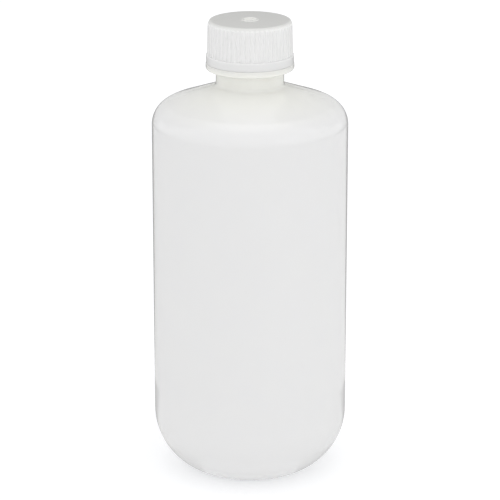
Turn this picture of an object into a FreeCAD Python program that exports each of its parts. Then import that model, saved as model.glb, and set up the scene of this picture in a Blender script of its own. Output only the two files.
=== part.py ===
import FreeCAD, Part
import math
import os

# Narrow mouth laboratory bottle of half a litre, with its screw cap and the cap's sealing wad.
# Millimetres. +Z is up, the axis of the bottle is the Z axis, and the bottle stands on z = 0.

# Body of the bottle, blown in one piece with its neck
body_radius = 36.0
wall = 1.2
inside_step = 22.0
side_height = 132.8
shoulder_round = 8.7
shoulder_slope = 19.5

# Foot: a wide round under the wall, rolled tighter to a flat standing ring
foot_round = 24.0
foot_roll = 5.0
stand_radius = 20.0
stand_width = 1.5

# Recess under the bottle, with the seam where the mould halves pinched the tube shut
recess_depth = 3.0
recess_roll = 2.5
recess_fillet = 2.5
recess_slope = 45.0
seam_length = 26.0
seam_width = 1.6
seam_height = 0.5

# Neck, its ring and its lip
neck_radius = 12.45
bore_radius = 10.5
neck_length = 6.1
neck_fillet = 1.5
ring_overhang = 3.7
ring_thickness = 2.25
ring_edge = 1.1
ring_top_edge = 0.4
finish_length = 13.45
lip_edge = 0.8
lip_inner_edge = 0.5

# Thread of a 28 mm closure: six turns to the inch, right-handed
thread_lead = 25.4 / 6
thread_turns = 1.5
thread_fade = 0.12
thread_depth = 1.2
thread_width = 2.4
thread_flank = 30.0
thread_start = 1.4
thread_bite = 0.3

# Thread inside the cap, which pulls up under the thread of the neck
cap_thread_width = 2.0
cap_thread_turns = 1.5
crest_clearance = 0.35
root_clearance = 0.4
flank_clearance = 0.15

# Screw cap
cap_gap = 0.2
cap_wall = 1.3
cap_top = 1.5
cap_edge = 0.85
cap_lead_in = 0.5
band_height = 3.2
band_proud = 0.3
band_edge = 0.3
rib_count = 54
rib_height = 0.35
rib_sink = 0.1
rib_fade = 0.5
rib_foot = 0.64
rib_land = 0.3
skirt_draft = 1.4

# Mark of the moulding gate in the middle of the cap's top
gate_radius = 3.25
gate_height = 0.3
dimple_radius = 2.25
dimple_depth = 0.5

# Sealing wad, snapped in over a bead above the cap's thread
liner_thickness = 1.0
liner_overhang = 0.65
liner_clearance = 0.3
bead_clearance = 0.15
bead_land = 0.3

# Heights and radii that follow from the sizes above
foot_centre_r = body_radius - foot_round
foot_centre_z = foot_roll + math.sqrt((foot_round - foot_roll) ** 2 - (stand_radius - foot_centre_r) ** 2)
slope_sin = math.sin(math.radians(shoulder_slope))
slope_cos = math.cos(math.radians(shoulder_slope))
shoulder_centre_r = body_radius - shoulder_round
shoulder_reach = slope_sin * shoulder_centre_r + slope_cos * side_height + shoulder_round
neck_foot_z = (shoulder_reach - slope_sin * neck_radius) / slope_cos
ring_z = neck_foot_z + neck_length
ring_top_z = ring_z + ring_thickness
ring_radius = neck_radius + ring_overhang
lip_z = ring_top_z + finish_length
crest_radius = neck_radius + thread_depth
cavity_radius = crest_radius + crest_clearance
cap_bottom_z = ring_top_z + cap_gap
liner_top_z = lip_z + liner_thickness
cap_top_z = liner_top_z + cap_top
band_top_z = cap_bottom_z + band_height
skirt_radius = cavity_radius + cap_wall
band_radius = skirt_radius + rib_height + band_proud
liner_radius = neck_radius + liner_overhang
pocket_radius = liner_radius + liner_clearance
bead_radius = neck_radius + root_clearance


def at(r, z):
    """A point of a section through the axis, at radius r and height z."""
    return FreeCAD.Vector(r, 0, z)


def around(centre, radius, degrees):
    """The point of a circle in the section plane at an angle, counted from the outward radius."""
    angle = math.radians(degrees)
    return at(centre.x + radius * math.cos(angle), centre.z + radius * math.sin(angle))


def arc(centre, radius, start, end):
    """An arc of a section, from one angle to another, as its start, middle and end."""
    return tuple(around(centre, radius, degrees) for degrees in (start, (start + end) / 2, end))


def slopes(centre, radius, start, end, step=inside_step):
    """A round of a section drawn plainly, as the corners of a few straight slopes."""
    count = max(1, round(abs(end - start) / step))
    return [around(centre, radius, start + (end - start) * index / count) for index in range(count + 1)]


def turned(outline):
    """The solid turned about the axis by an outline of corners and arcs, joined by straight lines."""
    edges = []
    stretches = [piece if isinstance(piece, tuple) else (piece,) for piece in outline]
    for index, stretch in enumerate(stretches):
        if len(stretch) == 3:
            edges.append(Part.Arc(*stretch).toShape())
        following = stretches[(index + 1) % len(stretches)][0]
        if following.distanceToPoint(stretch[-1]) > 1e-6:
            edges.append(Part.LineSegment(stretch[-1], following).toShape())
    face = Part.Face(Part.Wire(edges))
    return face.revolve(FreeCAD.Vector(0, 0, 0), FreeCAD.Vector(0, 0, 1), 360)


def ridge(wall_radius, depth, width, top_z, turns, outward):
    """A thread's ridge that winds down from top_z, with both of its ends faded into the wall."""
    side = 1 if outward else -1
    taper = math.tan(math.radians(thread_flank))
    count = round(24 * turns)
    sections = []
    for step in range(count + 1):
        wound = turns * step / count
        rise = min(1.0, wound / thread_fade, (turns - wound) / thread_fade)
        crest = depth * (1.1 * rise - 0.1)
        angle = -2 * math.pi * wound
        middle = top_z - width / 2 - thread_lead * wound
        corners = []
        for height, edge in ((-thread_bite, -1), (crest, -1), (crest, 1), (-thread_bite, 1)):
            radius = wall_radius + side * height
            z = middle + edge * (width / 2 - taper * height)
            corners.append(FreeCAD.Vector(radius * math.cos(angle), radius * math.sin(angle), z))
        sections.append(Part.makePolygon(corners + corners[:1]))
    return Part.makeLoft(sections, True, False)


def body_rounds(skin):
    """The body's rounds from its recess to its shoulder, at a depth under the skin."""
    roll = at(stand_radius - stand_width, recess_roll)
    slope = math.radians(recess_slope)
    climb = recess_depth - (recess_roll + recess_fillet) * (1 - math.cos(slope))
    fillet = at(
        roll.x - (recess_roll + recess_fillet) * math.sin(slope) - climb / math.tan(slope),
        recess_depth - recess_fillet,
    )
    standing = at(stand_radius, foot_roll)
    foot = at(foot_centre_r, foot_centre_z)
    lean = math.degrees(math.atan2(standing.z - foot.z, standing.x - foot.x))
    return [
        (fillet, recess_fillet + skin, 90, 90 - recess_slope),
        (roll, recess_roll - skin, 270 - recess_slope, 270),
        (standing, foot_roll - skin, -90, lean),
        (foot, foot_round - skin, lean, 0),
        (at(shoulder_centre_r, side_height), shoulder_round - skin, 0, 90 - shoulder_slope),
    ]


def neck_outline():
    """The neck's outside, from the hollow fillet at its foot past the ring to the lip."""
    fillet_r = neck_radius + neck_fillet
    fillet_z = (shoulder_reach + neck_fillet - slope_sin * fillet_r) / slope_cos
    return [
        *slopes(at(fillet_r, fillet_z), neck_fillet, 270 - shoulder_slope, 180),
        at(neck_radius, ring_z),
        at(ring_radius - ring_edge, ring_z),
        at(ring_radius, ring_z + ring_edge),
        at(ring_radius, ring_top_z - ring_top_edge),
        at(ring_radius - ring_top_edge, ring_top_z),
        at(neck_radius, ring_top_z),
        at(neck_radius, lip_z - lip_edge),
        at(neck_radius - lip_edge, lip_z),
    ]


def inside_outline():
    """The shell's inside, down the bore and the body to the recess. A blown wall is a little uneven."""
    bore_foot_z = (shoulder_reach - wall - slope_sin * bore_radius) / slope_cos
    outline = [
        at(bore_radius + lip_inner_edge, lip_z),
        at(bore_radius, lip_z - lip_inner_edge),
        at(bore_radius, bore_foot_z),
    ]
    for centre, radius, start, end in reversed(body_rounds(wall)):
        outline += slopes(centre, radius, end, start)
    return outline + [at(0, recess_depth + wall)]


def make_bottle():
    """The bottle: one blown shell with its neck ring, lip, thread and pinched seam."""
    outside = [at(0, recess_depth)] + [arc(*each) for each in body_rounds(0)] + neck_outline()
    shell = turned(outside + inside_outline())
    thread = ridge(neck_radius, thread_depth, thread_width, lip_z - thread_start, thread_turns, True)
    seam = Part.makeBox(seam_length, seam_width, seam_height + wall / 2)
    seam.translate(FreeCAD.Vector(-seam_length / 2, -seam_width / 2, recess_depth - seam_height))
    return shell.fuse([thread, seam]).removeSplitter()


def skirt_at(z):
    """The skirt's radius between its ribs at a height, drawn in by the draft."""
    return skirt_radius - math.tan(math.radians(skirt_draft)) * (z - band_top_z)


def rib_ring(z, height):
    """One closed ring through all the ribs: each rises from inside the skirt to a flat land."""
    pitch = 2 * math.pi / rib_count
    profile = ((-rib_foot, -rib_sink), (-rib_land, height), (rib_land, height), (rib_foot, -rib_sink))
    corners = []
    for rib in range(rib_count):
        for share, rise in profile:
            angle = pitch * (rib + share / 2)
            r = skirt_at(z) + rise
            corners.append(FreeCAD.Vector(r * math.cos(angle), r * math.sin(angle), z))
    return Part.makePolygon(corners + corners[:1])


def cap_outside():
    """The cap's outside without its ribs: plain band, skirt with draft, rounded edge and flat top."""
    edge_z = cap_top_z - cap_edge
    edge_centre = at(skirt_at(edge_z) - cap_edge, edge_z)
    return turned(
        [
            at(0, cap_bottom_z),
            at(band_radius - band_edge, cap_bottom_z),
            at(band_radius, cap_bottom_z + band_edge),
            at(band_radius, band_top_z - band_edge),
            at(band_radius - band_edge, band_top_z),
            at(skirt_radius, band_top_z),
            *slopes(edge_centre, cap_edge, 0, 90),
            at(0, cap_top_z),
        ]
    )


def cap_cavity():
    """The space inside the cap: a lead-in, the thread's wall, the wad's bead and the wad's pocket."""
    bead_z = lip_z - bead_clearance
    bead_foot_z = bead_z - liner_clearance - bead_land
    return turned(
        [
            at(0, cap_bottom_z - 1),
            at(cavity_radius + cap_lead_in, cap_bottom_z - 1),
            at(cavity_radius + cap_lead_in, cap_bottom_z),
            at(cavity_radius, cap_bottom_z + cap_lead_in),
            at(cavity_radius, bead_foot_z - (cavity_radius - bead_radius)),
            at(bead_radius, bead_foot_z),
            at(bead_radius, bead_z - liner_clearance),
            at(pocket_radius, bead_z),
            at(pocket_radius, liner_top_z),
            at(0, liner_top_z),
        ]
    )


def cap_thread():
    """The thread inside the cap, which lies just under the thread of the neck all the way."""
    flank_reach = math.tan(math.radians(thread_flank)) * (cavity_radius - neck_radius)
    behind = (thread_width + cap_thread_width) / 2 - flank_reach + flank_clearance
    top_z = lip_z - thread_start - (thread_width - cap_thread_width) / 2 - behind
    depth = cavity_radius - bead_radius
    return ridge(cavity_radius, depth, cap_thread_width, top_z, cap_thread_turns, False)


def make_cap():
    """The screw cap: ribbed skirt, plain band, gate mark, pocket for the wad and its own thread."""
    rib_top_z = cap_top_z - cap_edge
    rings = [
        rib_ring(band_top_z - band_edge, rib_height),
        rib_ring(rib_top_z - rib_fade, rib_height),
        rib_ring(rib_top_z, -rib_sink),
    ]
    ribs = Part.makeLoft(rings, True, True)
    gate = Part.makeCylinder(gate_radius, gate_height + cap_top / 2, at(0, cap_top_z - cap_top / 2))
    dimple = Part.makeCylinder(dimple_radius, dimple_depth, at(0, cap_top_z + gate_height - dimple_depth))
    shell = cap_outside().fuse([ribs, gate]).cut(cap_cavity()).cut(dimple)
    return shell.fuse(cap_thread()).removeSplitter()


def make_liner():
    """The sealing wad: a plain disc between the lip and the cap's top."""
    return Part.makeCylinder(liner_radius, liner_thickness, at(0, lip_z))


parts = {"bottle": make_bottle(), "screw_cap": make_cap(), "cap_liner": make_liner()}
os.makedirs("parts", exist_ok=True)
for name, shape in parts.items():
    shape.exportStep("parts/" + name + ".step")
    print(name, len(shape.Solids), "solid of", round(shape.Volume), "mm3")
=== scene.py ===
import logging
import math
from dataclasses import dataclass
from enum import Enum
from typing import Any

import bmesh
import bpy
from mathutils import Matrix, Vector


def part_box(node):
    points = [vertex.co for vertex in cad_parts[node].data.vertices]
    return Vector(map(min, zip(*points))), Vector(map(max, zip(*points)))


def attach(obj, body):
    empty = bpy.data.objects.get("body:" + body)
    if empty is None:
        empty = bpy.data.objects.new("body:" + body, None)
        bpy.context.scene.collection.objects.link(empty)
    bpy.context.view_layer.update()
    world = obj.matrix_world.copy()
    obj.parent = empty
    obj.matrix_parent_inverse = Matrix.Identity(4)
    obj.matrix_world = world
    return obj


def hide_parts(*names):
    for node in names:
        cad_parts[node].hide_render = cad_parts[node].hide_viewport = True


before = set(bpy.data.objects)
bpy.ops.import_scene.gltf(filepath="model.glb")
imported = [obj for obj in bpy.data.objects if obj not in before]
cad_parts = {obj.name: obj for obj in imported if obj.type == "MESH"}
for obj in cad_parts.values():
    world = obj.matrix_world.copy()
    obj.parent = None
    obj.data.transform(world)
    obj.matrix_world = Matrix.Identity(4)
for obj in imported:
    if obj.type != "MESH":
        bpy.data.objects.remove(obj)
log = logging.getLogger("narrow_mouth_bottle")

# A narrow mouth laboratory bottle of half a litre, its screw cap and the wad that seals them.
# Sizes in the classes are millimetres; the meshes are metres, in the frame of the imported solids.
MM = 0.001

# An edge that turns by more than this stays crisp, and points nearer than this are one point
SHARP = math.radians(38)
SAME_POINT = 1e-7

# The height of the cards that lie over the floor, in metres
FLOOR_CARD = 0.0006


# Small tools


def linear(colour: str) -> tuple[float, float, float, float]:
    """Turns an sRGB colour into the linear one that the shaders take.

    Args:
        colour: The colour as #RRGGBB.

    Returns:
        Red, green, blue and an alpha of one.
    """
    channels = [int(colour[place:place + 2], 16) / 255 for place in (1, 3, 5)]
    red, green, blue = (c / 12.92 if c <= 0.04045 else ((c + 0.055) / 1.055) ** 2.4 for c in channels)
    return red, green, blue, 1.0


def add_node(
    tree: bpy.types.NodeTree, kind: str, inputs: dict[Any, Any] | None = None, **settings: Any
) -> bpy.types.Node:
    """Adds a node with its settings, values and links.

    Args:
        tree: The tree that gets the node.
        kind: The node's type name.
        inputs: A value, or another node's output to link, for each input's name or number.
        **settings: Properties of the node itself.

    Returns:
        The new node.
    """
    node = tree.nodes.new(kind)
    for name, value in settings.items():
        setattr(node, name, value)
    for socket, value in (inputs or {}).items():
        if isinstance(value, bpy.types.NodeSocket):
            tree.links.new(value, node.inputs[socket])
        else:
            node.inputs[socket].default_value = value
    return node


def smoothed(mesh: bpy.types.Mesh) -> bpy.types.Mesh:
    """Gives a mesh smooth faces and crisp corners."""
    mesh.shade_smooth()
    mesh.set_sharp_from_angle(angle=SHARP)
    return mesh


def faced_outward(mesh: bpy.types.Mesh) -> bpy.types.Mesh:
    """Merges the points of a closed mesh that share a place, and turns its faces outwards."""
    shape = bmesh.new()
    shape.from_mesh(mesh)
    bmesh.ops.remove_doubles(shape, verts=shape.verts, dist=SAME_POINT)
    bmesh.ops.recalc_face_normals(shape, faces=shape.faces)
    shape.to_mesh(mesh)
    shape.free()
    return mesh


def new_piece(name: str, mesh: bpy.types.Mesh, finish: bpy.types.Material | None = None) -> bpy.types.Object:
    """Puts a mesh into the scene as an object at the origin.

    Args:
        name: The piece's name.
        mesh: Its mesh, with the place in its points.
        finish: Its material, unless it gets one later.

    Returns:
        The new object.
    """
    mesh.name = name
    piece = bpy.data.objects.new(name, smoothed(mesh))
    if finish:
        mesh.materials.append(finish)
    bpy.context.scene.collection.objects.link(piece)
    return piece


def mesh_of(points: list, faces: list, name: str) -> bpy.types.Mesh:
    """Makes a mesh from points in millimetres.

    Args:
        points: Corner places.
        faces: Corner numbers of each face.
        name: The mesh's name.

    Returns:
        The mesh, in metres.
    """
    mesh = bpy.data.meshes.new(name)
    mesh.from_pydata([tuple(MM * value for value in point) for point in points], [], faces)
    mesh.validate()
    return mesh


def grown(piece: bpy.types.Object, tree: bpy.types.NodeTree, values: dict[str, Any]) -> bpy.types.Object:
    """Runs a geometry tree on a piece and keeps the result as its plain mesh.

    Args:
        piece: The object whose mesh the tree starts from.
        tree: The geometry tree.
        values: A value for each of the tree's named inputs.

    Returns:
        The same object, with the grown mesh and no modifier.
    """
    modifier = piece.modifiers.new("growth", "NODES")
    modifier.node_group = tree
    for socket in tree.interface.items_tree:
        if socket.item_type == "SOCKET" and socket.in_out == "INPUT" and socket.name in values:
            modifier[socket.identifier] = values[socket.name]
    graph = bpy.context.evaluated_depsgraph_get()
    result = bpy.data.meshes.new_from_object(piece.evaluated_get(graph))
    piece.modifiers.remove(modifier)
    result.name = piece.name
    piece.data = smoothed(faced_outward(result))
    return piece


def report(piece: bpy.types.Object) -> None:
    """Logs a finished piece with its size."""
    low, high = (Vector(f(v.co[i] for v in piece.data.vertices) for i in range(3)) for f in (min, max))
    size = " x ".join(f"{1000 * extent:.2f}" for extent in high - low)
    log.info("%s: %d faces, %s mm", piece.name, len(piece.data.polygons), size)


class Outline:
    """A section through the axis, from the axis outwards and round to the axis again.

    Corners may be rounded, and a corner may carry a share of the ribs' height. Walked in that order,
    the faces that the outline sweeps point out of the solid.
    """

    long_stretch = 0.6
    margin = 0.08

    def __init__(self, step: float = 6.0) -> None:
        """Starts an empty outline whose rounds turn by at most step degrees at a time."""
        self.step = step
        self.stations: list[tuple[Vector, float, float]] = []

    def corner(self, r: float, z: float, rounding: float = 0.0, rib: float = 0.0) -> None:
        """Adds a corner at radius r and height z, with its rounding and its share of the ribs."""
        self.stations.append((Vector((r, z)), rounding, rib))

    def arc(self, centre: tuple[float, float], radius: float, start: float, end: float) -> None:
        """Adds an arc.

        Args:
            centre: Its middle, as radius and height.
            radius: Its radius.
            start: The angle where it starts, in degrees from the outward radius.
            end: The angle where it ends.
        """
        count = max(1, math.ceil(abs(end - start) / self.step))
        for index in range(count + 1):
            angle = math.radians(start + (end - start) * index / count)
            self.corner(centre[0] + radius * math.cos(angle), centre[1] + radius * math.sin(angle))

    def traced(self) -> list[tuple[float, float, float]]:
        """Rounds the corners.

        Returns:
            Radius, height and rib share of each point along the outline.
        """
        points = []
        for index, (place, rounding, rib) in enumerate(self.stations):
            if rounding == 0:
                points.append((place.x, place.y, rib))
                continue
            back = (self.stations[index - 1][0] - place).normalized()
            onward = (self.stations[index + 1][0] - place).normalized()
            half = back.angle(onward) / 2
            centre = place + (back + onward).normalized() * rounding / math.sin(half)
            start = (place + back * rounding / math.tan(half) - centre).normalized()
            end = (place + onward * rounding / math.tan(half) - centre).normalized()
            count = max(2, math.ceil(math.degrees(math.pi - 2 * half) / (2 * self.step)))
            for number in range(count + 1):
                reach = start.slerp(end, number / count) * rounding
                points.append((centre.x + reach.x, centre.y + reach.y, rib))
        return points

    def edged(self) -> list[tuple[float, float, float]]:
        """Adds a point near both ends of each long straight stretch, which keeps its shading flat.

        Returns:
            The traced points with those added.
        """
        traced = self.traced()
        points = [traced[0]]
        for near, far in zip(traced, traced[1:]):
            length = math.dist(near[:2], far[:2])
            if length > self.long_stretch:
                for share in (self.margin / length, 1 - self.margin / length):
                    points.append(tuple(a + (b - a) * share for a, b in zip(near, far)))
            points.append(far)
        return points

    def turned(self, name: str, segments: int) -> bpy.types.Mesh:
        """Turns the outline about the axis.

        Args:
            name: The mesh's name.
            segments: How many faces go round.

        Returns:
            A closed mesh with the rib shares as an attribute of its points.
        """
        points: list[tuple[float, float, float]] = []
        shares: list[float] = []
        rings: list[list[int]] = []
        for r, z, rib in self.edged():
            count = 1 if r < 1e-6 else segments
            rings.append([len(points) + step for step in range(count)])
            for step in range(count):
                angle = 2 * math.pi * step / segments
                points.append((r * math.cos(angle), r * math.sin(angle), z))
                shares.append(rib)
        faces = []
        for near, far in zip(rings, rings[1:]):
            for step in range(segments):
                following = (step + 1) % segments
                quad = (near[step % len(near)], near[following % len(near)],
                        far[following % len(far)], far[step % len(far)])
                faces.append(tuple(dict.fromkeys(quad)))
        mesh = mesh_of(points, faces, name)
        mesh.attributes.new("rib_share", "FLOAT", "POINT").data.foreach_set("value", shares)
        return mesh


# Finishes


def milky(name: str, ior: float, scatter: float) -> tuple[bpy.types.Material, bpy.types.Node]:
    """Starts the material of a plastic that light wanders in.

    Args:
        name: The material's name.
        ior: The plastic's refractive index.
        scatter: How far light wanders in it, in millimetres.

    Returns:
        The material and its shader.
    """
    material = bpy.data.materials.new(name)
    material.use_nodes = True
    shader = material.node_tree.nodes["Principled BSDF"]
    shader.inputs["IOR"].default_value = ior
    shader.inputs["Subsurface Weight"].default_value = 1.0
    shader.inputs["Subsurface Radius"].default_value = (1.0, 1.0, 1.0)
    shader.inputs["Subsurface Scale"].default_value = scatter * MM
    return material, shader


@dataclass(frozen=True)
class NaturalPolyethylene:
    """High-density polyethylene without pigment, blow moulded.

    It gives the eye a milky white that is cool where the wall is thin and warmer where the resin is
    thick, under a soft gloss that the cold mould leaves faintly uneven. The thick shoulder, neck and ring
    are also coloured lighter, as painted light against the shade that the cap casts on the neck.
    """

    thin_wall: str = "#F0F0F1"
    # Painted light: thick_wall is warmer like thick resin, and also lighter against the shade under the cap
    thick_wall: str = "#F5F5F0"
    thick_from: float = 137.0
    thick_to: float = 147.0
    waviness: float = 14.0
    waviness_height: float = 0.02
    grain: float = 0.5
    grain_height: float = 0.0015
    seam_width: float = 0.16
    seam_height: float = 0.03
    cloud: float = 9.0
    cloud_share: float = 0.25
    glossiest: float = 0.09
    dullest: float = 0.12
    ior: float = 1.54
    scatter: float = 1.2

    def material(self) -> bpy.types.Material:
        """Builds the material.

        Returns:
            The material, on Object coordinates.
        """
        material, shader = milky("natural_hdpe_blow_moulded", self.ior, self.scatter)
        tree = material.node_tree
        place = add_node(tree, "ShaderNodeTexCoord").outputs["Object"]
        axes = add_node(tree, "ShaderNodeSeparateXYZ", {0: place})

        # More resin stays in the shoulder, neck and ring, so they are creamier than the side; they are
        # also coloured lighter, as painted light against the shade under the cap
        thick = add_node(
            tree, "ShaderNodeMapRange",
            {"Value": axes.outputs["Z"], "From Min": self.thick_from * MM, "From Max": self.thick_to * MM},
            interpolation_type="SMOOTHSTEP",
        )
        cloud = add_node(
            tree, "ShaderNodeTexNoise", {"Vector": place, "Scale": 1 / (self.cloud * MM), "Detail": 2.0}
        )
        drift = add_node(
            tree, "ShaderNodeMath", {0: cloud.outputs[0], 1: self.cloud_share, 2: thick.outputs["Result"]},
            operation="MULTIPLY_ADD", use_clamp=True,
        )
        colour = add_node(
            tree, "ShaderNodeMix",
            {"Factor": drift.outputs[0], "A": linear(self.thin_wall), "B": linear(self.thick_wall)},
            data_type="RGBA",
        )
        tree.links.new(colour.outputs["Result"], shader.inputs["Base Color"])

        # The mould's skin: a gloss of about 0.1 that is patchy over a few millimetres
        gloss = add_node(
            tree, "ShaderNodeMapRange",
            {"Value": cloud.outputs[0], "From Min": 0.3, "From Max": 0.7,
             "To Min": self.glossiest, "To Max": self.dullest},
        )
        tree.links.new(gloss.outputs["Result"], shader.inputs["Roughness"])

        # The line where the mould halves meet, on both sides of the bottle
        off_plane = add_node(tree, "ShaderNodeMath", {0: axes.outputs["Y"]}, operation="ABSOLUTE")
        seam = add_node(
            tree, "ShaderNodeMapRange",
            {"Value": off_plane.outputs[0], "From Min": 0.0, "From Max": self.seam_width * MM,
             "To Min": 1.0, "To Max": 0.0},
            interpolation_type="SMOOTHSTEP",
        )
        parting = add_node(
            tree, "ShaderNodeBump", {"Height": seam.outputs["Result"], "Distance": self.seam_height * MM}
        )
        wave = add_node(
            tree, "ShaderNodeTexNoise", {"Vector": place, "Scale": 1 / (self.waviness * MM), "Detail": 1.0}
        )
        wavy = add_node(
            tree, "ShaderNodeBump",
            {"Height": wave.outputs[0], "Distance": self.waviness_height * MM,
             "Normal": parting.outputs["Normal"]},
        )
        grit = add_node(
            tree, "ShaderNodeTexNoise", {"Vector": place, "Scale": 1 / (self.grain * MM), "Detail": 3.0}
        )
        grainy = add_node(
            tree, "ShaderNodeBump",
            {"Height": grit.outputs[0], "Distance": self.grain_height * MM, "Normal": wavy.outputs["Normal"]},
        )
        tree.links.new(grainy.outputs["Normal"], shader.inputs["Normal"])
        return material


@dataclass(frozen=True)
class NaturalPolypropylene:
    """Polypropylene without pigment, injection moulded.

    It gives the eye a cool white that is satin on the skirt, where the mould is eroded. Between the ribs
    it is painted lighter and on their lands darker, as painted light that cancels the shade of the
    grooves. The polished flat top and its rounded rim are coloured darker as painted shade, and the gate
    mark is coloured paler as a painted highlight.
    """

    top_z: float
    skirt_foot: float
    draft: float
    rib_height: float
    gate_radius: float
    # Painted light: thin_wall, between the ribs, is lighter and thick_wall, on the lands, darker, against the
    # grooves' shade
    thin_wall: str = "#FCFCFB"
    thick_wall: str = "#EDEDED"
    # Painted shade: the rim and the flat top are coloured darker than the skirt
    painted_rim_shade: str = "#E0E0DE"
    painted_top_shade: str = "#EAEAE8"
    # Painted highlight: the gate mark is coloured paler than the top
    painted_gate_highlight: str = "#EFEFEC"
    rim_reach: float = 1.4
    top_reach: float = 0.06
    gate_reach: float = 0.1
    satin: float = 0.2
    polish: float = 0.14
    cloud: float = 5.0
    cloud_share: float = 0.2
    grain: float = 0.3
    grain_height: float = 0.0005
    ior: float = 1.49
    scatter: float = 0.7

    def material(self) -> bpy.types.Material:
        """Builds the material.

        Returns:
            The material, on Object coordinates.
        """
        material, shader = milky("natural_polypropylene_moulded", self.ior, self.scatter)
        tree = material.node_tree
        place = add_node(tree, "ShaderNodeTexCoord").outputs["Object"]
        cloud = add_node(
            tree, "ShaderNodeTexNoise", {"Vector": place, "Scale": 1 / (self.cloud * MM), "Detail": 2.0}
        )
        axes = add_node(tree, "ShaderNodeSeparateXYZ", {0: place})

        # How far a point stands out of the drafted skirt: nought between the ribs, one on their lands
        level = add_node(tree, "ShaderNodeVectorMath", {0: place, 1: (1.0, 1.0, 0.0)}, operation="MULTIPLY")
        across = add_node(tree, "ShaderNodeVectorMath", {0: level.outputs[0]}, operation="LENGTH")
        upright = add_node(
            tree, "ShaderNodeMath",
            {0: axes.outputs["Z"], 1: math.tan(math.radians(self.draft)), 2: across.outputs["Value"]},
            operation="MULTIPLY_ADD",
        )
        stood = add_node(
            tree, "ShaderNodeMapRange",
            {"Value": upright.outputs[0], "From Min": self.skirt_foot * MM,
             "From Max": (self.skirt_foot + self.rib_height) * MM},
        )
        drift = add_node(
            tree, "ShaderNodeMath", {0: cloud.outputs[0], 1: self.cloud_share, 2: stood.outputs["Result"]},
            operation="MULTIPLY_ADD", use_clamp=True,
        )
        # Painted light: lighter between the ribs and darker on the lands, to cancel the shade in the grooves
        skirt = add_node(
            tree, "ShaderNodeMix",
            {"Factor": drift.outputs[0], "A": linear(self.thin_wall), "B": linear(self.thick_wall)},
            data_type="RGBA",
        )

        # Painted shade: the rounded rim and then the flat top, told by their height, are coloured darker
        colour, flat = skirt, None
        for reach, end, shade in (
            (self.rim_reach, self.top_reach, self.painted_rim_shade), (self.top_reach, 0.0, self.painted_top_shade)
        ):
            flat = add_node(
                tree, "ShaderNodeMapRange",
                {"Value": axes.outputs["Z"], "From Min": (self.top_z - reach) * MM,
                 "From Max": (self.top_z - end) * MM},
                interpolation_type="SMOOTHSTEP",
            )
            colour = add_node(
                tree, "ShaderNodeMix",
                {"Factor": flat.outputs["Result"], "A": colour.outputs["Result"], "B": linear(shade)},
                data_type="RGBA",
            )

        # Painted highlight: the gate mark is coloured paler than the top
        gate = add_node(
            tree, "ShaderNodeMapRange",
            {"Value": across.outputs["Value"], "From Min": (self.gate_radius - self.gate_reach) * MM,
             "From Max": self.gate_radius * MM, "To Min": 1.0, "To Max": 0.0},
        )
        colour = add_node(
            tree, "ShaderNodeMix",
            {"Factor": gate.outputs["Result"], "A": colour.outputs["Result"], "B": linear(self.painted_gate_highlight)},
            data_type="RGBA",
        )
        tree.links.new(colour.outputs["Result"], shader.inputs["Base Color"])
        gloss = add_node(
            tree, "ShaderNodeMapRange",
            {"Value": flat.outputs["Result"], "To Min": self.satin, "To Max": self.polish},
        )
        tree.links.new(gloss.outputs["Result"], shader.inputs["Roughness"])
        grit = add_node(
            tree, "ShaderNodeTexNoise", {"Vector": place, "Scale": 1 / (self.grain * MM), "Detail": 2.0}
        )
        grainy = add_node(
            tree, "ShaderNodeBump", {"Height": grit.outputs[0], "Distance": self.grain_height * MM}
        )
        tree.links.new(grainy.outputs["Normal"], shader.inputs["Normal"])
        return material


@dataclass(frozen=True)
class PolyethyleneFoam:
    """Closed-cell polyethylene foam, skived to a sheet and punched.

    It gives the eye a matte white with cells of about a third of a millimetre.
    """

    colour: str = "#F4F4F2"
    painted_cell_shade: str = "#E9E9E6"
    cell: float = 0.35
    cell_depth: float = 0.05

    def material(self) -> bpy.types.Material:
        """Builds the material.

        Returns:
            The material, on Object coordinates.
        """
        material = bpy.data.materials.new("polyethylene_foam_punched")
        material.use_nodes = True
        tree = material.node_tree
        shader = tree.nodes["Principled BSDF"]
        shader.inputs["Roughness"].default_value = 0.75
        shader.inputs["IOR"].default_value = 1.5
        place = add_node(tree, "ShaderNodeTexCoord").outputs["Object"]
        cells = add_node(tree, "ShaderNodeTexVoronoi", {"Vector": place, "Scale": 1 / (self.cell * MM)})
        # Painted shade: darker towards the middle of each cell, where the bump sinks it
        colour = add_node(
            tree, "ShaderNodeMix",
            {"Factor": cells.outputs["Distance"], "A": linear(self.painted_cell_shade), "B": linear(self.colour)},
            data_type="RGBA",
        )
        tree.links.new(colour.outputs["Result"], shader.inputs["Base Color"])
        dimples = add_node(
            tree, "ShaderNodeBump",
            {"Height": cells.outputs["Distance"], "Distance": self.cell_depth * MM, "Strength": 0.5},
        )
        tree.links.new(dimples.outputs["Normal"], shader.inputs["Normal"])
        return material


# Geometry trees


def geometry_tree(name: str, sizes: dict[str, str]) -> tuple[bpy.types.NodeTree, bpy.types.Node]:
    """Starts a geometry tree with named inputs.

    Args:
        name: The tree's name.
        sizes: The socket type of each input by its name.

    Returns:
        The tree and its input node.
    """
    tree = bpy.data.node_groups.new(name, "GeometryNodeTree")
    tree.interface.new_socket("Geometry", in_out="INPUT", socket_type="NodeSocketGeometry")
    for size, kind in sizes.items():
        tree.interface.new_socket(size, in_out="INPUT", socket_type="NodeSocket" + kind)
    tree.interface.new_socket("Geometry", in_out="OUTPUT", socket_type="NodeSocketGeometry")
    return tree, add_node(tree, "NodeGroupInput")


def end_tree(tree: bpy.types.NodeTree, shape: bpy.types.NodeSocket, material: bpy.types.NodeSocket) -> None:
    """Ends a geometry tree with real meshes that carry the material."""
    real = add_node(tree, "GeometryNodeRealizeInstances", {"Geometry": shape})
    dressed = add_node(
        tree, "GeometryNodeSetMaterial", {"Geometry": real.outputs["Geometry"], "Material": material}
    )
    add_node(tree, "NodeGroupOutput", {"Geometry": dressed.outputs["Geometry"]})


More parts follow.
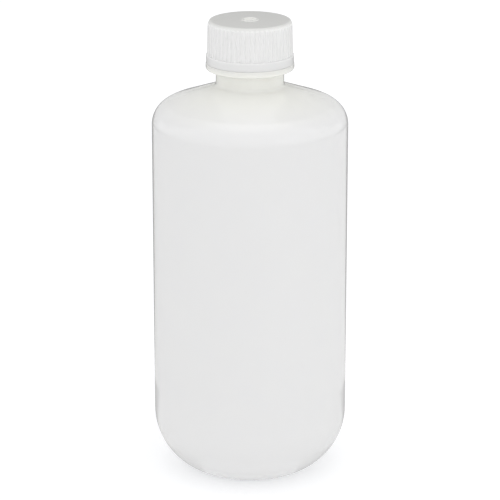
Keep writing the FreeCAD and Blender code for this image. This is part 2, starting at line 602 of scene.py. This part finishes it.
def rib_tree() -> bpy.types.NodeTree:
    """Builds the tree that raises grip ribs round a turned skirt.

    Returns:
        The tree. Each point moves out by the ribs' height times its own rib share.
    """
    tree, given = geometry_tree(
        "grip_ribs",
        {"Count": "Float", "Height": "Float", "Land": "Float", "Foot": "Float", "Material": "Material"},
    )
    sizes = given.outputs
    place = add_node(tree, "GeometryNodeInputPosition").outputs[0]
    axes = add_node(tree, "ShaderNodeSeparateXYZ", {0: place})
    angle = add_node(
        tree, "ShaderNodeMath", {0: axes.outputs["Y"], 1: axes.outputs["X"]}, operation="ARCTAN2"
    )
    turns = add_node(tree, "ShaderNodeMath", {0: angle.outputs[0], 1: 2 * math.pi}, operation="DIVIDE")
    ribs = add_node(tree, "ShaderNodeMath", {0: turns.outputs[0], 1: sizes["Count"]}, operation="MULTIPLY")
    beside = add_node(tree, "ShaderNodeMath", {0: ribs.outputs[0], 1: 0.5}, operation="PINGPONG")
    away = add_node(tree, "ShaderNodeMath", {0: beside.outputs[0], 1: 2.0}, operation="MULTIPLY")
    flank = add_node(
        tree, "ShaderNodeMapRange",
        {"Value": away.outputs[0], "From Min": sizes["Land"], "From Max": sizes["Foot"],
         "To Min": sizes["Height"], "To Max": 0.0},
        interpolation_type="SMOOTHSTEP",
    )
    share = add_node(tree, "GeometryNodeInputNamedAttribute", {"Name": "rib_share"}, data_type="FLOAT")
    rise = add_node(
        tree, "ShaderNodeMath", {0: flank.outputs["Result"], 1: share.outputs["Attribute"]},
        operation="MULTIPLY",
    )
    level = add_node(tree, "ShaderNodeVectorMath", {0: place, 1: (1.0, 1.0, 0.0)}, operation="MULTIPLY")
    outward = add_node(tree, "ShaderNodeVectorMath", {0: level.outputs[0]}, operation="NORMALIZE")
    offset = add_node(
        tree, "ShaderNodeVectorMath", {0: outward.outputs[0], "Scale": rise.outputs[0]}, operation="SCALE"
    )
    moved = add_node(
        tree, "GeometryNodeSetPosition", {"Geometry": sizes["Geometry"], "Offset": offset.outputs[0]}
    )
    end_tree(tree, moved.outputs["Geometry"], sizes["Material"])
    return tree


def thread_tree() -> bpy.types.NodeTree:
    """Builds the tree that winds a thread's ridge, right-handed, with both ends faded.

    Returns:
        The tree. Reach is how far the ridge stands from its path, negative towards the axis.
    """
    tree, given = geometry_tree(
        "screw_thread",
        {"Turns": "Float", "Lead": "Float", "Radius": "Float", "Foot": "Float", "Reach": "Float",
         "Root Width": "Float", "Crest Width": "Float", "Edge": "Float", "Fade": "Float",
         "Turn Start": "Float", "Material": "Material"},
    )
    sizes = given.outputs
    rise = add_node(tree, "ShaderNodeMath", {0: sizes["Turns"], 1: sizes["Lead"]}, operation="MULTIPLY")
    spiral = add_node(
        tree, "GeometryNodeCurveSpiral",
        {"Resolution": 96, "Rotations": sizes["Turns"], "Start Radius": sizes["Radius"],
         "End Radius": sizes["Radius"], "Height": rise.outputs[0]},
    )
    lift = add_node(tree, "ShaderNodeCombineXYZ", {"Z": sizes["Foot"]})
    twist = add_node(tree, "ShaderNodeCombineXYZ", {"Z": sizes["Turn Start"]})
    placed = add_node(
        tree, "GeometryNodeTransform",
        {"Geometry": spiral.outputs["Curve"], "Translation": lift.outputs[0], "Rotation": twist.outputs[0]},
    )
    upright = add_node(
        tree, "GeometryNodeSetCurveNormal", {"Curve": placed.outputs["Geometry"]}, mode="Z_UP"
    )
    along = add_node(tree, "GeometryNodeSplineParameter").outputs["Factor"]
    ends = add_node(tree, "ShaderNodeMath", {0: along, 1: 0.5}, operation="PINGPONG")
    wound = add_node(tree, "ShaderNodeMath", {0: ends.outputs[0], 1: sizes["Turns"]}, operation="MULTIPLY")
    scale = add_node(
        tree, "ShaderNodeMapRange",
        {"Value": wound.outputs[0], "From Min": 0.0, "From Max": sizes["Fade"],
         "To Min": 0.12, "To Max": 1.0},
        interpolation_type="SMOOTHSTEP",
    )

    # The section: a trapezium whose root lies on the path and whose crest is rounded
    tall = add_node(tree, "ShaderNodeMath", {0: sizes["Reach"]}, operation="ABSOLUTE")
    section = add_node(
        tree, "GeometryNodeCurvePrimitiveQuadrilateral",
        {"Height": tall.outputs[0], "Bottom Width": sizes["Root Width"], "Top Width": sizes["Crest Width"],
         "Offset": 0.0},
        mode="TRAPEZOID",
    )
    middle = add_node(tree, "ShaderNodeMath", {0: tall.outputs[0], 1: 0.5}, operation="MULTIPLY")
    seat = add_node(tree, "ShaderNodeCombineXYZ", {"Y": middle.outputs[0]})
    seated = add_node(
        tree, "GeometryNodeTransform", {"Geometry": section.outputs["Curve"], "Translation": seat.outputs[0]}
    )
    side = add_node(tree, "ShaderNodeMath", {0: sizes["Reach"]}, operation="SIGN")
    quarter = add_node(
        tree, "ShaderNodeMath", {0: side.outputs[0], 1: math.pi / 2}, operation="MULTIPLY"
    )
    facing = add_node(tree, "ShaderNodeCombineXYZ", {"Z": quarter.outputs[0]})
    turned = add_node(
        tree, "GeometryNodeTransform",
        {"Geometry": seated.outputs["Geometry"], "Rotation": facing.outputs[0]},
    )
    eased = add_node(
        tree, "GeometryNodeFilletCurve",
        {"Curve": turned.outputs["Geometry"], "Radius": sizes["Edge"], "Count": 3},
        mode="POLY",
    )
    swept = add_node(
        tree, "GeometryNodeCurveToMesh",
        {"Curve": upright.outputs["Curve"], "Profile Curve": eased.outputs["Curve"], "Fill Caps": True,
         "Scale": scale.outputs["Result"]},
    )
    end_tree(tree, swept.outputs["Mesh"], sizes["Material"])
    return tree


# Sub-assemblies


class Side(Enum):
    """Which way a thread stands from its wall."""

    OUTWARD = 1
    INWARD = -1


@dataclass
class Thread:
    """One start of a moulded thread, right-handed, six turns to the inch."""

    name: str
    wall_radius: float
    depth: float
    width: float
    top_z: float
    side: Side
    turns: float = 1.5
    lead: float = 25.4 / 6
    flank: float = 30.0
    fade: float = 0.12
    bite: float = 0.3
    edge: float = 0.22

    def build(self, tree: bpy.types.NodeTree, material: bpy.types.Material) -> bpy.types.Object:
        """Winds the thread.

        Args:
            tree: The thread tree.
            material: The plastic that it is moulded in.

        Returns:
            The ridge, sunk a little into its wall.
        """
        taper = math.tan(math.radians(self.flank))
        piece = new_piece(self.name, bpy.data.meshes.new(self.name))
        values = {
            "Turns": self.turns,
            "Lead": self.lead * MM,
            "Radius": (self.wall_radius - self.side.value * self.bite) * MM,
            "Foot": (self.top_z - self.width / 2 - self.lead * self.turns) * MM,
            "Reach": self.side.value * (self.depth + self.bite) * MM,
            "Root Width": (self.width + 2 * taper * self.bite) * MM,
            "Crest Width": (self.width - 2 * taper * self.depth) * MM,
            "Edge": self.edge * MM,
            "Fade": self.fade,
            "Turn Start": -2 * math.pi * self.turns,
            "Material": material,
        }
        return grown(piece, tree, values)


@dataclass
class BottleShell:
    """The blown bottle: foot, side, shoulder, neck, ring, lip and bore in one shell."""

    radius: float
    lip_z: float
    wall: float = 1.2
    side_height: float = 132.8
    shoulder_round: float = 8.7
    shoulder_slope: float = 19.5
    foot_round: float = 24.0
    foot_roll: float = 5.0
    stand_radius: float = 20.0
    stand_width: float = 1.5
    recess_depth: float = 3.0
    recess_round: float = 2.5
    recess_slope: float = 45.0
    neck_radius: float = 12.45
    bore_radius: float = 10.5
    neck_fillet: float = 1.5
    bore_fillet: float = 1.0
    ring_fillet: float = 0.3
    ring_overhang: float = 3.7
    ring_thickness: float = 2.25
    ring_edge: float = 1.1
    ring_top_edge: float = 0.2
    ring_crown: float = 0.18
    finish_length: float = 13.45
    lip_edge: float = 0.8
    lip_inner_edge: float = 0.5
    thread_depth: float = 1.2
    thread_width: float = 2.4
    thread_start: float = 1.4
    segments: int = 192

    def rounds(self, skin: float) -> list[tuple[tuple[float, float], float, float, float]]:
        """The rounds from the recess to the shoulder.

        Args:
            skin: Depth under the outer face.

        Returns:
            Centre, radius, start and end angle of each.
        """
        slope = math.radians(self.recess_slope)
        inner = self.stand_radius - self.stand_width
        climb = self.recess_depth - 2 * self.recess_round * (1 - math.cos(slope))
        top_r = inner - 2 * self.recess_round * math.sin(slope) - climb / math.tan(slope)
        foot_r = self.radius - self.foot_round
        across = self.stand_radius - foot_r
        foot_z = self.foot_roll + math.sqrt((self.foot_round - self.foot_roll) ** 2 - across ** 2)
        lean = math.degrees(math.atan2(self.foot_roll - foot_z, across))
        shoulder_r = self.radius - self.shoulder_round
        return [
            ((top_r, self.recess_depth - self.recess_round), self.recess_round + skin, 90,
             90 - self.recess_slope),
            ((inner, self.recess_round), self.recess_round - skin, 270 - self.recess_slope, 270),
            ((self.stand_radius, self.foot_roll), self.foot_roll - skin, -90, lean),
            ((foot_r, foot_z), self.foot_round - skin, lean, 0),
            ((shoulder_r, self.side_height), self.shoulder_round - skin, 0, 90 - self.shoulder_slope),
        ]

    def slope_height(self, r: float, skin: float = 0.0) -> float:
        """Height of the shoulder's slope at a radius, or of the face a skin under it."""
        angle = math.radians(self.shoulder_slope)
        reach = math.sin(angle) * (self.radius - self.shoulder_round)
        reach += math.cos(angle) * self.side_height + self.shoulder_round
        return (reach - skin - math.sin(angle) * r) / math.cos(angle)

    def outline(self) -> Outline:
        """Draws the shell's section.

        Returns:
            The outline, from the middle of the recess round to the middle of the inside.
        """
        outline = Outline(step=3.0)
        outline.corner(0, self.recess_depth)
        for each in self.rounds(0):
            outline.arc(*each)
        ring_top_z = self.lip_z - self.finish_length + self.ring_crown
        ring_z = ring_top_z - self.ring_crown - self.ring_thickness
        ring_radius = self.neck_radius + self.ring_overhang
        outline.corner(self.neck_radius, self.slope_height(self.neck_radius), self.neck_fillet)
        outline.corner(self.neck_radius, ring_z, self.ring_fillet)
        outline.corner(ring_radius, ring_z, self.ring_edge)
        outline.corner(ring_radius, ring_top_z, self.ring_top_edge)
        outline.corner(self.neck_radius, ring_top_z, self.ring_fillet)
        outline.corner(self.neck_radius, self.lip_z, self.lip_edge)
        outline.corner(self.bore_radius, self.lip_z, self.lip_inner_edge)
        outline.corner(self.bore_radius, self.slope_height(self.bore_radius, self.wall), self.bore_fillet)
        for centre, radius, start, end in reversed(self.rounds(self.wall)):
            outline.arc(centre, radius, end, start)
        outline.corner(0, self.recess_depth + self.wall)
        return outline

    def thread(self) -> Thread:
        """The thread round the neck, from just under the lip down."""
        return Thread(
            "neck_thread", self.neck_radius, self.thread_depth, self.thread_width,
            self.lip_z - self.thread_start, Side.OUTWARD,
        )

    def build(self, finish: bpy.types.Material) -> bpy.types.Object:
        """Makes the shell and dresses it.

        Args:
            finish: Its plastic.

        Returns:
            The shell.
        """
        return new_piece("bottle_shell", self.outline().turned("bottle_shell", self.segments), finish)


@dataclass
class PinchSeam:
    """The ridge under the bottle where the mould's halves pinched the tube of melt shut."""

    recess_depth: float = 3.0
    length: float = 26.0
    width: float = 1.6
    height: float = 0.5
    sunk: float = 0.4
    tip: float = 0.02
    stations: int = 40
    section: int = 12

    def build(self, finish: bpy.types.Material) -> bpy.types.Object:
        """Makes the ridge, round across and run out at both ends.

        Args:
            finish: The bottle's plastic.

        Returns:
            The ridge.
        """
        points, faces = [], []
        for station in range(self.stations + 1):
            x = -self.length / 2 + self.length * station / self.stations
            end = min(1.0, (self.length / 2 - abs(x)) / self.width)
            swell = math.sqrt(max(self.tip, 1 - (1 - end) ** 2))
            for corner in range(self.section):
                angle = 2 * math.pi * corner / self.section
                drop = self.height if math.sin(angle) > 0 else self.sunk
                y = swell * self.width / 2 * math.cos(angle)
                points.append((x, y, self.recess_depth - swell * drop * math.sin(angle)))
        for station in range(self.stations):
            for corner in range(self.section):
                following = (corner + 1) % self.section
                near, far = station * self.section, (station + 1) * self.section
                faces.append((near + corner, near + following, far + following, far + corner))
        faces.append(tuple(range(self.section)))
        faces.append(tuple(self.stations * self.section + corner for corner in range(self.section)))
        return new_piece("pinch_seam", faced_outward(mesh_of(points, faces, "pinch_seam")), finish)


@dataclass
class ScrewCap:
    """The ribbed screw cap with its gate mark, the bead that holds the wad and its own thread."""

    bottom_z: float
    top_z: float
    band_radius: float
    lip_z: float
    neck: BottleShell
    wall: float = 1.3
    top: float = 1.5
    edge: float = 0.85
    crest_clearance: float = 0.35
    root_clearance: float = 0.4
    flank_clearance: float = 0.15
    band_height: float = 3.2
    band_edge: float = 0.35
    band_foot_edge: float = 0.1
    lead_in: float = 0.5
    rib_count: int = 54
    rib_height: float = 0.35
    rib_land: float = 0.3
    rib_foot: float = 0.72
    rib_fade: float = 0.6
    draft: float = 1.4
    crown: float = 0.1
    gate_radius: float = 3.25
    gate_height: float = 0.3
    gate_edge: float = 0.12
    gate_foot_edge: float = 0.04
    dimple_radius: float = 2.25
    dimple_depth: float = 0.5
    liner_radius: float = 13.1
    liner_clearance: float = 0.3
    bead_clearance: float = 0.15
    bead_land: float = 0.3
    thread_width: float = 2.0
    faces_per_rib: int = 12
    steps: int = 6

    @property
    def cavity_radius(self) -> float:
        """The inside radius of the skirt, clear of the neck thread's crest."""
        return self.neck.neck_radius + self.neck.thread_depth + self.crest_clearance

    @property
    def bead_radius(self) -> float:
        """The inside radius of the bead and of the thread's crest, clear of the neck's wall."""
        return self.neck.neck_radius + self.root_clearance

    def skirt_radius(self, z: float) -> float:
        """The skirt's radius between its ribs at a height."""
        band_top = self.bottom_z + self.band_height
        return self.cavity_radius + self.wall - math.tan(math.radians(self.draft)) * (z - band_top)

    def draw_inside(self, outline: Outline) -> None:
        """Draws the pocket, bead, wall and lead-in, from the axis down to the mouth."""
        bead_z = self.lip_z - self.bead_clearance
        bead_foot = bead_z - self.liner_clearance - self.bead_land
        ceiling = self.top_z - self.top
        outline.corner(0, ceiling)
        outline.corner(self.liner_radius + self.liner_clearance, ceiling, 0.2)
        outline.corner(self.liner_radius + self.liner_clearance, bead_z, 0.08)
        outline.corner(self.bead_radius, bead_z - self.liner_clearance, 0.1)
        outline.corner(self.bead_radius, bead_foot, 0.1)
        outline.corner(self.cavity_radius, bead_foot - (self.cavity_radius - self.bead_radius), 0.2)
        outline.corner(self.cavity_radius, self.bottom_z + self.lead_in, 0.2)
        outline.corner(self.cavity_radius + self.lead_in, self.bottom_z, 0.1)

    def draw_outside(self, outline: Outline) -> None:
        """Draws the band, the skirt that carries the ribs, the rounded edge and the gate mark."""
        band_top = self.bottom_z + self.band_height
        rib_top = self.top_z - self.edge
        outline.corner(self.band_radius, self.bottom_z, self.band_foot_edge)
        outline.corner(self.band_radius, band_top, self.band_edge)
        outline.corner(self.skirt_radius(band_top), band_top, rib=1.0)
        outline.corner(self.skirt_radius(band_top + 0.1), band_top + 0.1, rib=1.0)
        for step in range(self.steps + 1):
            z = rib_top - self.rib_fade * (1 - step / self.steps)
            outline.corner(self.skirt_radius(z), z, rib=0.5 + 0.5 * math.cos(math.pi * step / self.steps))
        rim_r = self.skirt_radius(rib_top) - self.edge
        outline.arc((rim_r, rib_top), self.edge, 0, 90)
        for step in range(1, self.steps):
            r = rim_r + (self.gate_radius - rim_r) * step / self.steps
            outline.corner(r, self.top_z + self.crown * (1 - (r / rim_r) ** 2))
        gate_z = self.top_z + self.gate_height
        outline.corner(self.gate_radius, self.top_z + self.crown, self.gate_foot_edge)
        outline.corner(self.gate_radius, gate_z, self.gate_edge)
        outline.corner(self.dimple_radius, gate_z, self.gate_edge)
        outline.corner(self.dimple_radius, gate_z - self.dimple_depth, self.gate_edge)
        outline.corner(0, gate_z - self.dimple_depth)

    def thread(self) -> Thread:
        """The thread inside, which lies just under the neck's thread all the way."""
        neck = self.neck
        reach = math.tan(math.radians(30)) * (self.cavity_radius - neck.neck_radius)
        behind = (neck.thread_width + self.thread_width) / 2 - reach + self.flank_clearance
        top_z = self.lip_z - neck.thread_start - (neck.thread_width - self.thread_width) / 2 - behind
        depth = self.cavity_radius - self.bead_radius
        return Thread("cap_thread", self.cavity_radius, depth, self.thread_width, top_z, Side.INWARD)

    def build(self, ribs: bpy.types.NodeTree, finish: bpy.types.Material) -> bpy.types.Object:
        """Makes the cap and raises its ribs.

        Args:
            ribs: The rib tree.
            finish: The cap's plastic.

        Returns:
            The cap.
        """
        outline = Outline(step=10.0)
        self.draw_inside(outline)
        self.draw_outside(outline)
        piece = new_piece("ribbed_cap", outline.turned("ribbed_cap", self.rib_count * self.faces_per_rib))
        values = {
            "Count": float(self.rib_count),
            "Height": self.rib_height * MM,
            "Land": self.rib_land,
            "Foot": self.rib_foot,
            "Material": finish,
        }
        return grown(piece, ribs, values)


@dataclass
class SealingWad:
    """The foam disc that the lip presses on."""

    radius: float
    bottom_z: float
    top_z: float
    edge: float = 0.12
    segments: int = 160

    def build(self, finish: bpy.types.Material) -> bpy.types.Object:
        """Makes the disc.

        Args:
            finish: The foam.

        Returns:
            The disc.
        """
        outline = Outline(step=15.0)
        outline.corner(0, self.bottom_z)
        outline.corner(self.radius, self.bottom_z, self.edge)
        outline.corner(self.radius, self.top_z, self.edge)
        outline.corner(0, self.top_z)
        return new_piece("sealing_wad", outline.turned("sealing_wad", self.segments), finish)


# Studio


def seen_rays(tree: bpy.types.NodeTree) -> bpy.types.NodeSocket:
    """Tells the rays that show the backdrop: those of the camera, of gloss and through clear things."""
    path = add_node(tree, "ShaderNodeLightPath").outputs
    seen = path["Is Camera Ray"]
    for kind in ("Is Glossy Ray", "Is Transmission Ray"):
        seen = add_node(tree, "ShaderNodeMath", {0: seen, 1: path[kind]}, operation="MAXIMUM").outputs[0]
    return seen


@dataclass
class ReflectorCard:
    """A curved card round the bottle that only its gloss sees. Sizes are in metres and degrees."""

    name: str
    near: tuple[float, float]
    far: tuple[float, float]
    azimuth: tuple[float, float]
    brightness: float
    steps: int = 48

    def build(self) -> None:
        """Makes the card as a strip between its near and far edge, each a radius and a height."""
        points, faces = [], []
        for step in range(self.steps + 1):
            angle = math.radians(self.azimuth[0] + (self.azimuth[1] - self.azimuth[0]) * step / self.steps)
            for radius, z in (self.near, self.far):
                points.append((1000 * radius * math.sin(angle), -1000 * radius * math.cos(angle), 1000 * z))
        for step in range(self.steps):
            faces.append((2 * step, 2 * step + 2, 2 * step + 3, 2 * step + 1))
        material = bpy.data.materials.new(self.name + "_paper")
        material.use_nodes = True
        tree = material.node_tree
        tree.nodes.clear()
        glow = add_node(tree, "ShaderNodeEmission", {"Strength": self.brightness})
        add_node(tree, "ShaderNodeOutputMaterial", {"Surface": glow.outputs[0]})
        card = new_piece(self.name, mesh_of(points, faces, self.name), material)
        card.visible_camera = False
        card.visible_diffuse = False
        card.visible_transmission = False
        card.visible_shadow = False


@dataclass
class Studio:
    """A pale floor, a light tent and the camera. Sizes are in metres and degrees."""

    camera_place: tuple[float, float, float] = (0.0, -0.9153, 0.3794)
    camera_pitch: float = 17.89
    lens: float = 185.9
    sky: float = 0.9
    floor_radius: float = 6.0
    floor_bounce: float = 0.56
    bounce_glow: float = 0.34
    floor_shadow: float = 0.77
    floor_glow: tuple[float, float, float] = (0.325, 0.33, 0.34)
    # Name, place, width and brightness
    softboxes: tuple = (
        ("overhead", (0.0, -0.05, 1.4), 0.9, 0.52),
        ("front_right", (0.9, -0.9, 0.5), 0.6, 0.4),
        ("front", (0.0, -2.2, 0.9), 1.5, 0.3),
    )
    # Name, near and far edge as radius and height, azimuth from the front, and brightness
    cards: tuple = (
        ("foot_card", (0.0235, FLOOR_CARD), (0.037, FLOOR_CARD), (45, 315), 0.58),
        ("near_dark_card", (0.037, FLOOR_CARD), (0.1, FLOOR_CARD), (122, 238), 0.36),
        ("near_grey_card", (0.037, FLOOR_CARD), (0.1, FLOOR_CARD), (238, 482), 0.78),
        ("dark_floor_card", (0.1, FLOOR_CARD), (1.6, FLOOR_CARD), (152, 208), 0.12),
        ("left_floor_card", (0.1, FLOOR_CARD), (0.63, FLOOR_CARD), (208, 374), 0.71),
        ("right_floor_card", (0.1, FLOOR_CARD), (0.63, FLOOR_CARD), (14, 152), 0.8),
        ("front_floor_card", (0.63, FLOOR_CARD), (0.82, FLOOR_CARD), (-40, 40), 0.78),
        ("left_floor_flag", (0.63, FLOOR_CARD), (0.82, FLOOR_CARD), (208, 320), 0.1),
        ("right_floor_flag", (0.63, FLOOR_CARD), (0.82, FLOOR_CARD), (40, 152), 0.02),
        ("far_floor_card", (0.82, FLOOR_CARD), (1.6, FLOOR_CARD), (208, 512), 0.65),
        ("dark_back_card", (1.5, 0.25), (1.5, 0.9), (171, 189), 0.03),
        ("low_back_card", (1.6, 0.0), (1.6, 0.45), (135, 225), 0.6),
        ("grey_back_card", (1.6, 0.45), (1.6, 1.0), (110, 250), 0.48),
        ("high_back_card", (1.6, 1.0), (1.15, 2.2), (95, 265), 0.36),
    )

    def camera(self) -> None:
        """Places the camera as the photograph was taken."""
        data = bpy.data.cameras.new("camera")
        data.lens = self.lens
        data.sensor_width = 36.0
        data.clip_end = 100.0
        camera = bpy.data.objects.new("camera", data)
        camera.location = self.camera_place
        camera.rotation_euler = (math.radians(90 - self.camera_pitch), 0.0, 0.0)
        bpy.context.scene.collection.objects.link(camera)
        bpy.context.scene.camera = camera

    def world(self) -> None:
        """Fills the room with even light, and shows plain white behind the object."""
        world = bpy.data.worlds.new("light_tent")
        bpy.context.scene.world = world
        world.use_nodes = True
        tree = world.node_tree
        tree.nodes.clear()
        tent = add_node(tree, "ShaderNodeBackground", {"Strength": self.sky})
        white = add_node(tree, "ShaderNodeBackground", {"Strength": 1.0})
        for background in (tent, white):
            background.inputs["Color"].default_value = (1.0, 1.0, 1.0, 1.0)
        both = add_node(
            tree, "ShaderNodeMixShader", {0: seen_rays(tree), 1: tent.outputs[0], 2: white.outputs[0]}
        )
        add_node(tree, "ShaderNodeOutputWorld", {"Surface": both.outputs[0]})

    def floor(self) -> None:
        """Lays the floor, which is seen as white paper that keeps the shadow at the foot."""
        outline = Outline(step=10.0)
        outline.corner(0, 0)
        outline.corner(1000 * self.floor_radius, 0)
        floor = new_piece("floor", outline.turned("floor", 96))
        floor.data.flip_normals()
        material = bpy.data.materials.new("white_paper")
        material.use_nodes = True
        tree = material.node_tree
        tree.nodes.clear()
        faces = []
        for paper, glow in (
            ((self.floor_bounce,) * 3, (self.bounce_glow,) * 3),
            ((self.floor_shadow,) * 3, self.floor_glow),
        ):
            sheet = add_node(tree, "ShaderNodeBsdfDiffuse", {"Color": (*paper, 1.0)})
            lamp = add_node(tree, "ShaderNodeEmission", {"Color": (*glow, 1.0)})
            faces.append(add_node(tree, "ShaderNodeAddShader", {0: sheet.outputs[0], 1: lamp.outputs[0]}))
        both = add_node(
            tree, "ShaderNodeMixShader",
            {0: seen_rays(tree), 1: faces[0].outputs[0], 2: faces[1].outputs[0]},
        )
        add_node(tree, "ShaderNodeOutputMaterial", {"Surface": both.outputs[0]})
        floor.data.materials.append(material)

    def lights(self) -> None:
        """Hangs the softboxes, each as bright over its face as its last number says."""
        for name, place, width, radiance in self.softboxes:
            data = bpy.data.lights.new(name, "AREA")
            data.shape = "SQUARE"
            data.size = width
            data.energy = radiance * math.pi * width ** 2
            light = bpy.data.objects.new(name, data)
            light.location = place
            light.rotation_euler = (Vector((0, 0, 0.1)) - Vector(place)).to_track_quat("-Z", "Y").to_euler()
            bpy.context.scene.collection.objects.link(light)

    def build(self) -> None:
        """Sets up the whole studio."""
        self.camera()
        self.world()
        self.floor()
        self.lights()
        for card in self.cards:
            ReflectorCard(*card).build()
        bpy.context.scene.view_settings.view_transform = "Standard"


def main() -> None:
    """Builds the studio and every piece, and ties each piece to its body."""
    logging.basicConfig(level=logging.INFO, format="%(name)s: %(message)s")
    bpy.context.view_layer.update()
    Studio().build()

    bottle_low, bottle_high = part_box("bottle")
    cap_low, cap_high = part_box("screw_cap")
    wad_low, wad_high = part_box("cap_liner")
    polyethylene = NaturalPolyethylene().material()
    foam = PolyethyleneFoam().material()
    ribs, threads = rib_tree(), thread_tree()

    bottle = BottleShell(radius=bottle_high.x / MM, lip_z=bottle_high.z / MM)
    cap = ScrewCap(
        bottom_z=cap_low.z / MM, top_z=cap_high.z / MM - ScrewCap.gate_height,
        band_radius=cap_high.x / MM, lip_z=bottle.lip_z, neck=bottle,
    )
    wad = SealingWad(radius=wad_high.x / MM, bottom_z=wad_low.z / MM, top_z=wad_high.z / MM)
    polypropylene = NaturalPolypropylene(
        top_z=cap.top_z, skirt_foot=cap.skirt_radius(0), draft=cap.draft, rib_height=cap.rib_height,
        gate_radius=cap.gate_radius,
    ).material()

    shell = bottle.build(polyethylene)
    closure = cap.build(ribs, polypropylene)
    disc = wad.build(foam)
    pieces = [
        (shell, "bottle", "bottle_hdpe", "bottle"),
        (bottle.thread().build(threads, polyethylene), "bottle", "bottle_hdpe", "bottle"),
        (PinchSeam().build(polyethylene), "bottle", "bottle_hdpe", "bottle"),
        (closure, "cap", "cap_pp", "screw_cap"),
        (cap.thread().build(threads, polypropylene), "cap", "cap_pp", "screw_cap"),
        (disc, "liner", "liner_foam", "cap_liner"),
    ]
    for piece, body, slot, node in pieces:
        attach(piece, body)
        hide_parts(node)
        report(piece)


if __name__ == "__main__":
    main()
